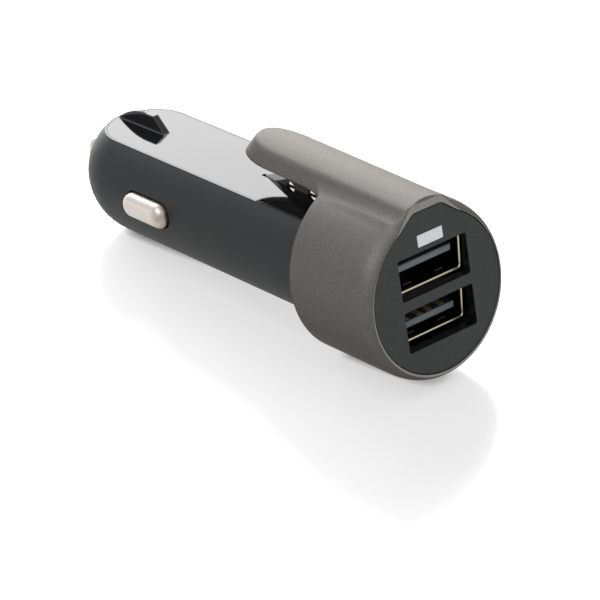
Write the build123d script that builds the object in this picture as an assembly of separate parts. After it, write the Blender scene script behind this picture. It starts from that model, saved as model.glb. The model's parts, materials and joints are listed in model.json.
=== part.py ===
from build123d import *
import os
from math import acos, atan, cos, degrees, hypot, radians, sin, sqrt, tan

# Car charger plug for a 12 V accessory socket, with two USB ports and a belt cutter.
# The barrel's axis runs along Y: nose towards +Y, ports towards -Y, +Z is the side with the flat.
# The origin is on the axis at the collar's back shoulder. All sizes are in millimetres.

# Barrel
BARREL_RADIUS = 10.4
BARREL_WALL = 1.6
NOSE_START = 50.2
NOSE_ROUND = 11.1
FLAT_DEPTH = 2.8
HEAD_ROOM = 1.15
HEAD_STEP_WALL = 1.2

# Gloss cover let into the flat, and its guide fin
COVER_THICKNESS = 1.2
COVER_LIP = 0.2
COVER_GAP = 0.05
DECK_THICKNESS = 1.2
FIN_START = 45.6
FIN_RAMP_RUN = 3.0
FIN_HALF_AT_RAMP = 0.55
FIN_HALF_AT_NOSE = 0.85
FIN_DRAFT = 3.0
FIN_BELOW_ROUND = 0.3

# Collar: the ports' face and the back shoulder both lean, with their tops towards the nose
COLLAR_RADIUS = 13.85
COLLAR_WALL = 1.55
COLLAR_GAP = 0.1
FACE_Y = -17.4
FACE_LEAN = 6.3
SHOULDER_LEAN = 5.6
SHOULDER_WALL = 1.6
RIM_WIDTH = 1.45
RIM_STANDS = 0.1
RIM_LAND = 0.2
RIM_ROUND = ((0.6, 0.49), (1.3, 0.84), (2.2, 1.05), (3.8, 1.19))
RIM_PEAK_RISE = 1.55
RIM_PEAK_HALF = 2.9
RIM_PEAK_FOOT = 6.4

# Ridge on the collar that runs back as the hook over the blade
HOOK_DEPTH = 3.35
HOOK_SINKS = 1.85
HOOK_TOP_HALF = 3.65
HOOK_FOOT_HALF = 5.05
HOOK_ROUND_START = 14.9
HOOK_TOP_REACH = 6.4
HOOK_FOOT_REACH = 9.0
HOOK_RISE = 1.2
HOOK_CROWN = 9.5
HOOK_EDGE_ROUND = 1.8
HOOK_WEB_WIDTH = 1.9
HOOK_WEB_LENGTH = 5.6
CREASE_ROUND = 5.0
CREASE_SINKS = 0.006

# Front panel
PANEL_THICKNESS = 1.6
PANEL_GAP = 0.16
PANEL_PEAK_RISE = 0.85
PANEL_PEAK_HALF = 2.85
PANEL_PEAK_FOOT = 5.7
PEAK_ROUND = 1.6
PEAK_FOOT_ROUND = 5.0

# USB-A ports, one each side of the board
PORT_PITCH = 8.16
PORT_OPENING_WIDTH = 13.62
PORT_OPENING_HEIGHT = 6.45
PORT_CORNER = 0.35
SHELL_WIDTH = 13.1
SHELL_HEIGHT = 5.72
SHELL_SHEET = 0.3
SHELL_CORNER = 0.6
SHELL_LEAD_IN = 0.18
SHELL_FRONT = -15.5
SHELL_LENGTH = 11.8
SHELL_FINGER_PLACE = 3.2
SHELL_FINGER_START = 1.2
SHELL_FINGER_WIDTH = 1.6
SHELL_FINGER_LENGTH = 4.5
SHELL_FINGER_SLIT = 0.35
SHELL_FINGER_BEND = 5.0
SHELL_TAB_WIDTH = 1.4
SHELL_TAB_INSET = 1.5
TONGUE_WIDTH = 11.1
TONGUE_THICKNESS = 1.1
TONGUE_SET_BACK = 0.9
TONGUE_OFFSET = 0.68
TONGUE_CHAMFER = 0.15
INSULATOR_DEPTH = 3.0
INSULATOR_GAP = 0.05
CONTACT_WIDTH = 1.0
CONTACT_SHEET = 0.25
CONTACT_PROUD = 0.1
CONTACT_INSET = 0.5
CONTACT_PLACES = (-3.5, -1.0, 1.0, 3.5)

# Indicator lamp, a rectangular one with two legs
LAMP_WIDTH = 4.95
LAMP_HEIGHT = 1.8
LAMP_LENGTH = 6.5
LAMP_CENTRE = 8.97
LAMP_GAP = 0.05
LAMP_LEG = 0.5
LAMP_LEG_PITCH = 2.54
LAMP_LEG_GAP = 0.35

# Cutter blade, standing on edge in the middle of the flat
BLADE_SHEET = 0.5
BLADE_TIP = 21.4
BLADE_EDGE_ANGLE = 22.2
BLADE_BEVEL = 1.05
BLADE_BACK = 1.9
BLADE_SEAT = 0.8
BLADE_HOLE = 0.9
BLADE_HOLES = (15.0, 10.0)
BLADE_SLOT_GAP = 0.1
BLADE_SLOT_AHEAD = 0.5
BLADE_HOOK_GAP = 0.05

# Sprung centre contact at the nose
TIP_RADIUS = 2.3
TIP_HOLE_GAP = 0.2
TIP_END = 65.6
TIP_END_ROUND = 1.8
TIP_FLANGE = 3.6
TIP_FLANGE_THICKNESS = 1.0
TIP_SEAT_Y = 58.6
TIP_SEAT_GAP = 0.1
TIP_STUB = 1.7
TIP_STUB_LENGTH = 3.4
SPRING_RADIUS = 2.35
SPRING_WIRE = 0.5
SPRING_SIDES = 6
SPRING_TURNS = 6
TERMINAL_Y = 46.0
TERMINAL_SHEET = 0.6
TERMINAL_HALF = 3.4
TERMINAL_FOOT = 4.0

# Sprung side contacts: a stamped pad on a leaf that turns about its curled root
PAD_LENGTH = 10.4
PAD_HEIGHT = 4.05
PAD_CENTRE = 38.8
PAD_STANDS = 1.5
PAD_SHEET = 0.4
PAD_ROUND = 1.4
WINDOW_GAP = 0.25
LEAF_SHEET = 0.4
LEAF_ROOM = 0.9
LEAF_TRAVEL = 2.9
LEAF_HEIGHT = 6.0
LEAF_ROOT = 24.3
LEAF_END = 46.5
LEAF_CURL = 0.45

# Circuit board and what stands on it
BOARD_THICKNESS = 1.6
BOARD_ROOM = 1.2
BOARD_FRONT = -14.6
BOARD_SHOULDER = 23.4
BOARD_TAIL = 45.9
CHIP_Y = 6.0
CHIP_LENGTH = 4.9
CHIP_WIDTH = 3.9
CHIP_HEIGHT = 1.5
CHIP_LEGS = 4
CHIP_LEG_PITCH = 1.27
CHIP_LEG_WIDTH = 0.42
CHIP_LEG_REACH = 1.05
CHIP_LEG_SHEET = 0.2
DIODE_Y = 13.5
DIODE_LENGTH = 4.3
DIODE_WIDTH = 2.6
DIODE_HEIGHT = 2.2
INDUCTOR_Y = 5.0
INDUCTOR_RADIUS = 4.2
INDUCTOR_HEIGHT = 5.6
INDUCTOR_FLANGE = 1.1
INDUCTOR_CORE = 2.0
WINDING_GAP = 0.15
CAPACITOR_IN_Y = 12.0
CAPACITOR_IN_RADIUS = 3.15
CAPACITOR_IN_LENGTH = 11.0
CAPACITOR_OUT_Y = 26.0
CAPACITOR_OUT_RADIUS = 2.5
CAPACITOR_OUT_LENGTH = 9.0
CAPACITOR_GROOVE = 0.3
CAPACITOR_GROOVE_Y = 1.4

# Values that follow from the sizes above
FAR = 80.0
BOARD_TOP = BOARD_THICKNESS / 2
CAVITY_RADIUS = BARREL_RADIUS - BARREL_WALL
FLAT_HEIGHT = BARREL_RADIUS - FLAT_DEPTH
CAVITY_TOP = FLAT_HEIGHT - COVER_THICKNESS - DECK_THICKNESS
COVER_BOTTOM = FLAT_HEIGHT - COVER_THICKNESS
HEAD_RADIUS = COLLAR_RADIUS - COLLAR_WALL - COLLAR_GAP
HEAD_CAVITY = hypot(SHELL_WIDTH, PORT_PITCH + SHELL_HEIGHT) / 2 + HEAD_ROOM
PANEL_RADIUS = COLLAR_RADIUS - RIM_WIDTH
PANEL_PEAK = PANEL_RADIUS + PANEL_PEAK_RISE
RIM_PEAK = PANEL_PEAK + RIM_PEAK_RISE
HOOK_UNDERSIDE = COLLAR_RADIUS - HOOK_SINKS
HOOK_TOP = HOOK_UNDERSIDE + HOOK_DEPTH
LEAF_FACE = CAVITY_RADIUS - LEAF_ROOM
BOARD_HALF = CAVITY_RADIUS - BOARD_ROOM
BOARD_NECK_HALF = LEAF_FACE - LEAF_TRAVEL
TIP_HOLE = TIP_RADIUS + TIP_HOLE_GAP
TIP_FLANGE_FRONT = TIP_SEAT_Y - TIP_SEAT_GAP
TIP_FLANGE_BACK = TIP_FLANGE_FRONT - TIP_FLANGE_THICKNESS
SHELL_BACK = SHELL_FRONT + SHELL_LENGTH
BLADE_BOTTOM = COVER_BOTTOM - BLADE_SEAT
COVER_START = -SHOULDER_WALL + COLLAR_GAP
LAMP_BACK = FACE_Y + LAMP_LENGTH
LAMP_LOW = LAMP_CENTRE - LAMP_HEIGHT / 2
LAMP_LEG_Y = SHELL_BACK + CONTACT_SHEET + LAMP_LEG_GAP


def leaning_plane(y_on_axis, lean):
    """Plane across the plug whose top leans towards the nose; its normal points to the ports' side."""
    tilt = radians(lean)
    return Plane(origin=(0, y_on_axis, 0), x_dir=(1, 0, 0), z_dir=(0, -cos(tilt), sin(tilt)))


UPPER_TO_LOWER = Plane.XY
RIGHT_TO_LEFT = Plane.YZ
FACE = leaning_plane(FACE_Y, FACE_LEAN)
RIM = leaning_plane(FACE_Y - RIM_STANDS / cos(radians(FACE_LEAN)), FACE_LEAN)
PANEL_BACK = leaning_plane(FACE_Y + PANEL_THICKNESS / cos(radians(FACE_LEAN)), FACE_LEAN)
SHOULDER = leaning_plane(0, SHOULDER_LEAN)
SHOULDER_INNER = leaning_plane(-SHOULDER_WALL, SHOULDER_LEAN)
HEAD_BACK = leaning_plane(-SHOULDER_WALL - COLLAR_GAP, SHOULDER_LEAN)
HEAD_STEP = leaning_plane(-SHOULDER_WALL - COLLAR_GAP - HEAD_STEP_WALL, SHOULDER_LEAN)


def in_front_of(plane):
    """Everything on the ports' side of a plane across the plug."""
    return extrude(plane * Rectangle(FAR, FAR), amount=FAR)


def behind(plane):
    """Everything on the nose side of a plane across the plug."""
    return extrude(plane * Rectangle(FAR, FAR), amount=-FAR)


def block(x0, x1, y0, y1, z0, z1):
    """Box between two corners."""
    return Pos((x0 + x1) / 2, (y0 + y1) / 2, (z0 + z1) / 2) * Box(x1 - x0, y1 - y0, z1 - z0)


def rod(radius, y0, y1, x=0.0, z=0.0):
    """Round bar along the plug's axis."""
    return Pos(x, (y0 + y1) / 2, z) * Rot(X=90) * Cylinder(radius, y1 - y0)


def nose_y(radius, on_radius, nose_round):
    """How far along the axis the rounded nose has a given radius."""
    return NOSE_START + sqrt(nose_round**2 - (on_radius - radius + nose_round) ** 2)


def nosed_bar(radius, nose_round, y0, flat_end):
    """Solid barrel form: straight, then rounded over to a flat end of a given radius."""
    turn = degrees(acos((flat_end - radius + nose_round) / nose_round))
    over = CenterArc((radius - nose_round, NOSE_START), nose_round, 0, turn)
    side = Polyline((0, y0), (radius, y0), (radius, NOSE_START))
    back = Polyline(over @ 1, (0, nose_y(radius, flat_end, nose_round)), (0, y0))
    return revolve(make_face(side + over + back), Axis.Y)


def obround_x(length, height, x0, x1, y, z):
    """Obround bar along X, long side along Y."""
    flat = Plane(origin=(0, y, z), x_dir=(0, 1, 0), z_dir=(1, 0, 0))
    outline = flat.offset(x0) * SlotOverall(length, height)
    return extrude(outline, amount=x1 - x0)


def cover_room(inset):
    """Plate let into the flat, running from inside the collar to the nose, within an even margin."""
    bar = nosed_bar(BARREL_RADIUS - inset, NOSE_ROUND - inset, COVER_START, TIP_HOLE)
    return bar & block(-FAR, FAR, -FAR, FAR, COVER_BOTTOM, FLAT_HEIGHT)


def hook_underside(y):
    """Height of the hook's underside at a place along the axis."""
    return HOOK_UNDERSIDE + y * tan(radians(HOOK_RISE))


def blade_outline(gap, ahead):
    """Blade seen from the side, grown by a clearance for its seats."""
    rise = tan(radians(BLADE_EDGE_ANGLE))
    top = hook_underside(BLADE_BACK) + BLADE_SEAT + gap
    corner = BLADE_TIP + ahead - (top - FLAT_HEIGHT) / rise
    return Polyline(
        (BLADE_BACK - gap, BLADE_BOTTOM),
        (BLADE_TIP + ahead, BLADE_BOTTOM),
        (BLADE_TIP + ahead, FLAT_HEIGHT),
        (corner, top),
        (BLADE_BACK - gap, top),
        close=True,
    )


def on_edge(outline, half):
    """Plate standing on edge in the middle plane, from an outline drawn along Y and Z."""
    middle = Plane(origin=(0, 0, 0), x_dir=(0, 1, 0), z_dir=(1, 0, 0))
    return extrude(middle * make_face(outline), amount=half, both=True)


def blade_room(gap, ahead):
    """Space that the blade and its clearance take up."""
    return on_edge(blade_outline(gap, ahead), BLADE_SHEET / 2 + gap)


def make_cutter_blade():
    blade = on_edge(blade_outline(0, 0), BLADE_SHEET / 2)
    for y in BLADE_HOLES:
        blade -= Pos(0, y, FLAT_HEIGHT) * Rot(Y=90) * Cylinder(BLADE_HOLE, FAR)
    # both sides are ground down to the slanting cutting edge
    slope = radians(BLADE_EDGE_ANGLE)
    uphill = (0, -cos(slope), sin(slope))
    outwards = (0, sin(slope), cos(slope))
    edge = Plane(origin=(0, BLADE_TIP, FLAT_HEIGHT), x_dir=outwards, z_dir=uphill)
    for side in (-1, 1):
        waste = Polyline(
            (0, 0),
            (0, side * BLADE_SHEET),
            (-BLADE_BEVEL, side * BLADE_SHEET),
            (-BLADE_BEVEL, side * BLADE_SHEET / 2),
            close=True,
        )
        blade -= extrude(edge * make_face(waste), amount=FAR / 2, both=True)
    return blade


def inner_nose():
    """Room inside the nose, narrowing to the seat of the tip contact's flange."""
    seat = TIP_FLANGE + TIP_HOLE_GAP
    length = TIP_SEAT_Y - NOSE_START
    return Pos(0, NOSE_START + length / 2, 0) * Rot(X=-90) * Cone(CAVITY_RADIUS, seat, length)


def make_barrel_shell():
    body = nosed_bar(BARREL_RADIUS, NOSE_ROUND, -FAR / 2, TIP_HOLE) & behind(HEAD_BACK)
    body -= block(-FAR, FAR, -FAR, FAR, FLAT_HEIGHT, FAR)
    body += rod(HEAD_RADIUS, -FAR / 2, FAR / 4) & in_front_of(HEAD_BACK) & behind(PANEL_BACK)
    hollow = rod(CAVITY_RADIUS, -FAR / 2, NOSE_START) + inner_nose()
    hollow &= block(-FAR, FAR, -FAR, FAR, -FAR, CAVITY_TOP)
    hollow += rod(HEAD_CAVITY, -FAR / 2, FAR / 4) & in_front_of(HEAD_STEP)
    hollow += rod(TIP_HOLE, NOSE_START, FAR)
    body -= hollow
    body -= cover_room(COVER_LIP)
    body -= blade_room(BLADE_SLOT_GAP, BLADE_SLOT_AHEAD)
    length, height = PAD_LENGTH + 2 * WINDOW_GAP, PAD_HEIGHT + 2 * WINDOW_GAP
    for side in (-1, 1):
        reach = sorted((side * BOARD_NECK_HALF, side * FAR))
        body -= obround_x(length, height, *reach, PAD_CENTRE, 0)
    return body


def make_top_cover():
    cover = cover_room(COVER_LIP + COVER_GAP)
    cover -= blade_room(BLADE_SLOT_GAP, BLADE_SLOT_AHEAD)
    # the guide fin fills out the round of the barrel near the nose
    nose = nose_y(BARREL_RADIUS, FLAT_HEIGHT, NOSE_ROUND)
    plan = Polyline(
        (-FIN_HALF_AT_RAMP, FIN_START),
        (FIN_HALF_AT_RAMP, FIN_START),
        (FIN_HALF_AT_NOSE, nose),
        (-FIN_HALF_AT_NOSE, nose),
        close=True,
    )
    height = BARREL_RADIUS - FLAT_HEIGHT
    fin = extrude(Pos(0, 0, FLAT_HEIGHT) * make_face(plan), amount=height, taper=FIN_DRAFT)
    fin &= nosed_bar(BARREL_RADIUS - FIN_BELOW_ROUND, NOSE_ROUND, 0, TIP_HOLE)
    above_ramp = Polyline(
        (FIN_START, FLAT_HEIGHT),
        (FIN_START + FIN_RAMP_RUN, BARREL_RADIUS),
        (FIN_START, FAR),
        (FIN_START - FAR, FAR),
        close=True,
    )
    return cover + (fin - on_edge(above_ramp, FAR))


def hook_plan(half, reach, z):
    """Ridge and hook seen from above: straight sides and a half-oval tip."""
    tip = EllipticalCenterArc((0, HOOK_ROUND_START), half, reach, start_angle=0, arc_size=180)
    sides = Polyline(tip @ 1, (-half, -FAR / 2), (half, -FAR / 2), tip @ 0)
    return Pos(0, 0, z) * make_face(tip + sides)


def make_hook():
    hook = loft(
        [
            hook_plan(HOOK_FOOT_HALF, HOOK_FOOT_REACH, HOOK_UNDERSIDE),
            hook_plan(HOOK_TOP_HALF, HOOK_TOP_REACH, HOOK_TOP),
        ]
    )
    hook &= rod(HOOK_CROWN, -FAR, FAR, z=HOOK_TOP - HOOK_CROWN)
    top = hook.faces().sort_by(Axis.Z)[-1]
    rounded = [edge for edge in top.edges() if edge.center().Y > -FAR / 2]
    return Rot(X=HOOK_RISE) * fillet(rounded, HOOK_EDGE_ROUND)


def make_hook_web():
    """Web that rounds the right-hand corner between the hook's side and the collar's shoulder."""
    out = HOOK_FOOT_HALF + HOOK_WEB_WIDTH
    start = HOOK_UNDERSIDE * tan(radians(SHOULDER_LEAN))
    end = start + HOOK_WEB_LENGTH
    size = HOOK_WEB_WIDTH, HOOK_WEB_LENGTH
    hollow = EllipticalCenterArc((out, end), *size, start_angle=270, arc_size=-90)
    sides = Polyline(
        (HOOK_FOOT_HALF, end),
        (HOOK_FOOT_HALF, HOOK_ROUND_START),
        (0, HOOK_ROUND_START),
        (0, SHELL_BACK),
        (out, SHELL_BACK),
        (out, start),
    )
    lean = degrees(atan((HOOK_FOOT_HALF - HOOK_TOP_HALF) / (HOOK_TOP - HOOK_UNDERSIDE)))
    plan = Pos(0, 0, HOOK_UNDERSIDE) * make_face(sides + hollow)
    return Rot(X=HOOK_RISE) * extrude(plan, amount=HOOK_DEPTH, taper=lean)


def edge_round_centre(y):
    """Centre of the round on the ridge's right edge, at a place along the axis."""
    flank = Vector(HOOK_TOP_HALF - HOOK_FOOT_HALF, HOOK_DEPTH).normalized()
    outwards = Vector(flank.Y, -flank.X)
    inside = outwards.dot(Vector(HOOK_FOOT_HALF, HOOK_UNDERSIDE)) - HOOK_EDGE_ROUND
    crown_centre = Vector(0, HOOK_TOP - HOOK_CROWN)
    from_crown = inside * outwards - crown_centre
    back = from_crown.dot(flank)
    along = sqrt((HOOK_CROWN - HOOK_EDGE_ROUND) ** 2 - from_crown.dot(from_crown) + back**2) - back
    return inside * outwards + along * flank + Vector(0, hook_underside(y) - HOOK_UNDERSIDE)


def crease_section(y):
    """Hollow round between the ridge's right edge and the collar, at a place along the axis."""
    edge = edge_round_centre(y)
    off_axis = COLLAR_RADIUS + CREASE_ROUND - CREASE_SINKS
    off_edge = HOOK_EDGE_ROUND + CREASE_ROUND - CREASE_SINKS
    up = (off_axis**2 - off_edge**2 + edge.length**2) / (2 * edge.length)
    aside = sqrt(off_axis**2 - up**2)
    towards = edge.normalized()
    centre = up * towards + aside * Vector(towards.Y, -towards.X)
    to_collar = centre.normalized()
    to_ridge = (centre - edge).normalized()
    on_collar = centre - CREASE_ROUND * to_collar
    on_ridge = centre - CREASE_ROUND * to_ridge
    between = centre - CREASE_ROUND * (to_collar + to_ridge).normalized()
    hollow = ThreePointArc(on_collar, between, on_ridge)
    sides = Polyline(on_ridge, (0, HOOK_UNDERSIDE), on_collar)
    plane = Plane(origin=(0, y, 0), x_dir=(1, 0, 0), z_dir=(0, -1, 0))
    return plane * make_face(hollow + sides)


def peaked_round(radius, peak, half, foot):
    """Circle with a low flat-topped peak, as the face has under the ridge."""
    shoulder = sqrt(radius**2 - foot**2)
    corners = Polyline((-foot, shoulder), (-half, peak), (half, peak), (foot, shoulder), (0, 0), close=True)
    top = make_face(corners)
    outline = Circle(radius) + fillet(top.vertices().sort_by(Axis.Y)[-2:], PEAK_ROUND)
    feet = [corner for corner in outline.vertices() if abs(abs(corner.X) - foot) < 0.01]
    return fillet(feet, PEAK_FOOT_ROUND)


def panel_outline():
    return peaked_round(PANEL_RADIUS, PANEL_PEAK, PANEL_PEAK_HALF, PANEL_PEAK_FOOT)


def rim_bound():
    """Everything within the rounded rim round the panel, and all that lies behind the rim."""
    front = peaked_round(PANEL_RADIUS + PANEL_GAP + RIM_LAND, RIM_PEAK, RIM_PEAK_HALF, RIM_PEAK_FOOT)
    sections = [RIM * front]
    for depth, width in RIM_ROUND:
        wider = offset(front, amount=width)
        sections.append(leaning_plane(RIM.origin.Y + depth, FACE_LEAN) * wider)
    return loft(sections) + behind(leaning_plane(RIM.origin.Y + RIM_ROUND[-1][0], FACE_LEAN))


def make_collar():
    round_form = rod(COLLAR_RADIUS, -FAR / 2, FAR / 4)
    crease = loft([crease_section(-FAR / 4), crease_section(HOOK_ROUND_START)])
    round_form += crease
    round_form += mirror(crease, about=RIGHT_TO_LEFT)
    body = (round_form & in_front_of(SHOULDER)) + make_hook()
    web = make_hook_web() & round_form
    body += web
    body += mirror(web, about=RIGHT_TO_LEFT)
    body &= rim_bound()
    body -= rod(HEAD_RADIUS + COLLAR_GAP, -FAR / 2, FAR / 4) & in_front_of(SHOULDER_INNER)
    body -= extrude(PANEL_BACK * offset(panel_outline(), amount=PANEL_GAP), amount=FAR / 4)
    through = rod(BARREL_RADIUS + COLLAR_GAP, -FAR / 2, FAR / 4)
    body -= through - block(-FAR, FAR, -FAR, FAR, FLAT_HEIGHT + COLLAR_GAP, FAR)
    body -= blade_room(BLADE_HOOK_GAP, BLADE_HOOK_GAP)
    return body


def make_front_panel():
    panel = extrude(PANEL_BACK * panel_outline(), amount=PANEL_THICKNESS)
    across = Plane(origin=(0, 0, 0), x_dir=(1, 0, 0), z_dir=(0, -1, 0))
    for port in (-PORT_PITCH / 2, PORT_PITCH / 2):
        opening = Pos(0, port) * RectangleRounded(PORT_OPENING_WIDTH, PORT_OPENING_HEIGHT, PORT_CORNER)
        panel -= extrude(across * opening, amount=FAR)
    window = Rectangle(LAMP_WIDTH + 2 * LAMP_GAP, LAMP_HEIGHT + 2 * LAMP_GAP)
    return panel - extrude(across * (Pos(0, LAMP_CENTRE) * window), amount=FAR)


def port_bar(width, height, corner, y0, y1):
    """Bar with the port's rounded section, in the upper port's place."""
    outline = RectangleRounded(width, height, corner) if corner else Rectangle(width, height)
    plane = Plane(origin=(0, y0, PORT_PITCH / 2), x_dir=(1, 0, 0), z_dir=(0, 1, 0))
    return extrude(plane * outline, amount=y1 - y0)


def make_usb_shell():
    inner = SHELL_WIDTH - 2 * SHELL_SHEET, SHELL_HEIGHT - 2 * SHELL_SHEET, SHELL_CORNER - SHELL_SHEET
    shell = port_bar(SHELL_WIDTH, SHELL_HEIGHT, SHELL_CORNER, SHELL_FRONT, SHELL_BACK)
    shell -= port_bar(*inner, SHELL_FRONT, SHELL_BACK)
    mouth = shell.faces().sort_by(Axis.Y)[0].inner_wires()[0]
    shell = chamfer(mouth.edges(), SHELL_LEAD_IN)
    # spring fingers, let out of both broad walls and bent inwards
    hinge_y = SHELL_FRONT + SHELL_FINGER_START + SHELL_FINGER_LENGTH
    for x in (-SHELL_FINGER_PLACE, SHELL_FINGER_PLACE):
        for side in (-1, 1):
            wall = PORT_PITCH / 2 + side * (SHELL_HEIGHT - SHELL_SHEET) / 2
            half = SHELL_FINGER_WIDTH / 2 + SHELL_FINGER_SLIT
            start = hinge_y - SHELL_FINGER_LENGTH - SHELL_FINGER_SLIT
            shell -= block(x - half, x + half, start, hinge_y, wall - SHELL_SHEET, wall + SHELL_SHEET)
            finger = Box(SHELL_FINGER_WIDTH, SHELL_FINGER_LENGTH, SHELL_SHEET)
            bent = Rot(X=side * SHELL_FINGER_BEND) * Pos(0, -SHELL_FINGER_LENGTH / 2, 0)
            shell += Pos(x, hinge_y, wall) * bent * finger
    # solder tabs down to the board
    low = PORT_PITCH / 2 - SHELL_HEIGHT / 2
    for x in (-SHELL_WIDTH / 2, SHELL_WIDTH / 2 - SHELL_SHEET):
        for y in (SHELL_FRONT + SHELL_TAB_INSET, SHELL_BACK - SHELL_TAB_INSET - SHELL_TAB_WIDTH):
            shell += block(x, x + SHELL_SHEET, y, y + SHELL_TAB_WIDTH, BOARD_TOP, low + SHELL_CORNER)
    return shell


def contact_strip(x, gap):
    """One contact: along the underside of the upper tongue, then down to the board behind the shell."""
    half = CONTACT_WIDTH / 2 + gap
    face = PORT_PITCH / 2 + TONGUE_OFFSET - TONGUE_THICKNESS / 2
    start = SHELL_FRONT + TONGUE_SET_BACK + CONTACT_INSET
    low, high = face - CONTACT_PROUD, face - CONTACT_PROUD + CONTACT_SHEET
    along = block(x - half, x + half, start - gap, SHELL_BACK + CONTACT_SHEET, low - gap, high + gap)
    down = block(x - half, x + half, SHELL_BACK, SHELL_BACK + CONTACT_SHEET, BOARD_TOP, high)
    return along + down


def make_usb_tongue():
    inset = 2 * (SHELL_SHEET + INSULATOR_GAP)
    inner = SHELL_WIDTH - inset, SHELL_HEIGHT - inset
    part = port_bar(*inner, SHELL_CORNER - SHELL_SHEET, SHELL_BACK - INSULATOR_DEPTH, SHELL_BACK)
    front = SHELL_FRONT + TONGUE_SET_BACK
    tongue = port_bar(TONGUE_WIDTH, TONGUE_THICKNESS, 0, front, SHELL_BACK)
    tongue = chamfer(tongue.faces().sort_by(Axis.Y)[0].edges(), TONGUE_CHAMFER)
    part += Pos(0, 0, TONGUE_OFFSET) * tongue
    for x in CONTACT_PLACES:
        part -= contact_strip(x, INSULATOR_GAP)
    return part


def make_usb_contacts():
    return Compound([contact_strip(x, 0) for x in CONTACT_PLACES])


def make_led_lamp():
    lamp = block(-LAMP_WIDTH / 2, LAMP_WIDTH / 2, -FAR / 2, LAMP_BACK, LAMP_LOW, LAMP_LOW + LAMP_HEIGHT)
    return lamp & behind(FACE)


def make_led_leads():
    legs = []
    half = LAMP_LEG / 2
    for x in (-LAMP_LEG_PITCH / 2, LAMP_LEG_PITCH / 2):
        leg = block(x - half, x + half, LAMP_BACK, LAMP_LEG_Y + half, LAMP_CENTRE - half, LAMP_CENTRE + half)
        leg += block(x - half, x + half, LAMP_LEG_Y - half, LAMP_LEG_Y + half, BOARD_TOP, LAMP_CENTRE + half)
        legs.append(leg)
    return Compound(legs)


def make_tip_contact():
    pin = rod(TIP_RADIUS, TIP_FLANGE_FRONT, TIP_END)
    pin = fillet(pin.edges().sort_by(Axis.Y)[-1], TIP_END_ROUND)
    pin += rod(TIP_FLANGE, TIP_FLANGE_BACK, TIP_FLANGE_FRONT)
    return pin + rod(TIP_STUB, TIP_FLANGE_BACK - TIP_STUB_LENGTH, TIP_FLANGE_BACK)


def make_tip_spring():
    start = TERMINAL_Y + TERMINAL_SHEET + SPRING_WIRE / 2
    height = TIP_FLANGE_BACK - SPRING_WIRE / 2 - start
    path = Helix(height / SPRING_TURNS, height, SPRING_RADIUS)
    wire = Plane(origin=path @ 0, z_dir=path % 0) * RegularPolygon(SPRING_WIRE / 2, SPRING_SIDES)
    return Pos(0, start, 0) * Rot(X=-90) * sweep(wire, path)


def make_tip_terminal():
    half = TERMINAL_HALF
    plate = block(-half, half, TERMINAL_Y, TERMINAL_Y + TERMINAL_SHEET, -half, half)
    foot = block(-half, half, TERMINAL_Y - TERMINAL_FOOT, TERMINAL_Y, BOARD_TOP, BOARD_TOP + TERMINAL_SHEET)
    return plate + foot


def make_ground_contact():
    """Right-hand side contact: hollow stamped pad, leaf and curled root."""
    outer = BARREL_RADIUS + PAD_STANDS
    inner = LEAF_FACE - LEAF_SHEET
    pad = obround_x(PAD_LENGTH, PAD_HEIGHT, inner, outer, PAD_CENTRE, 0)
    pad = fillet(pad.faces().sort_by(Axis.X)[-1].edges(), PAD_ROUND)
    leaf = block(inner, LEAF_FACE, LEAF_ROOT, LEAF_END, -LEAF_HEIGHT / 2, LEAF_HEIGHT / 2)
    contact = leaf + pad
    sheet = 2 * PAD_SHEET
    depth = outer - PAD_SHEET - PAD_ROUND / 2
    contact -= obround_x(PAD_LENGTH - sheet, PAD_HEIGHT - sheet, 0, depth, PAD_CENTRE, 0)
    return contact + Pos(LEAF_FACE - LEAF_SHEET / 2, LEAF_ROOT, 0) * Cylinder(LEAF_CURL, LEAF_HEIGHT)


def make_main_board():
    board = block(-BOARD_HALF, BOARD_HALF, BOARD_FRONT, BOARD_SHOULDER, -BOARD_TOP, BOARD_TOP)
    return board + block(-BOARD_NECK_HALF, BOARD_NECK_HALF, BOARD_SHOULDER, BOARD_TAIL, -BOARD_TOP, BOARD_TOP)


def make_converter_chip():
    half = CHIP_WIDTH / 2
    low = BOARD_TOP + CHIP_LEG_SHEET
    chip = block(-half, half, CHIP_Y, CHIP_Y + CHIP_LENGTH, low, BOARD_TOP + CHIP_HEIGHT)
    first = CHIP_Y + CHIP_LENGTH / 2 - (CHIP_LEGS - 1) * CHIP_LEG_PITCH / 2
    for i in range(CHIP_LEGS):
        y = first + i * CHIP_LEG_PITCH - CHIP_LEG_WIDTH / 2
        reach = half + CHIP_LEG_REACH
        chip += block(-reach, reach, y, y + CHIP_LEG_WIDTH, BOARD_TOP, BOARD_TOP + CHIP_LEG_SHEET)
    return chip


def make_catch_diode():
    half = DIODE_WIDTH / 2
    return block(-half, half, DIODE_Y, DIODE_Y + DIODE_LENGTH, BOARD_TOP, BOARD_TOP + DIODE_HEIGHT)


def post(radius, z0, z1, y):
    """Upright round bar in the middle plane."""
    return Pos(0, y, (z0 + z1) / 2) * Cylinder(radius, z1 - z0)


def make_inductor_core():
    top, bottom = -BOARD_TOP, -BOARD_TOP - INDUCTOR_HEIGHT
    core = post(INDUCTOR_CORE, bottom, top, INDUCTOR_Y)
    core += post(INDUCTOR_RADIUS, top - INDUCTOR_FLANGE, top, INDUCTOR_Y)
    return core + post(INDUCTOR_RADIUS, bottom, bottom + INDUCTOR_FLANGE, INDUCTOR_Y)


def make_inductor_winding():
    top = -BOARD_TOP - INDUCTOR_FLANGE
    bottom = -BOARD_TOP - INDUCTOR_HEIGHT + INDUCTOR_FLANGE
    outer = post(INDUCTOR_RADIUS - 2 * WINDING_GAP, bottom, top, INDUCTOR_Y)
    return outer - post(INDUCTOR_CORE + WINDING_GAP, bottom, top, INDUCTOR_Y)


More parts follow.
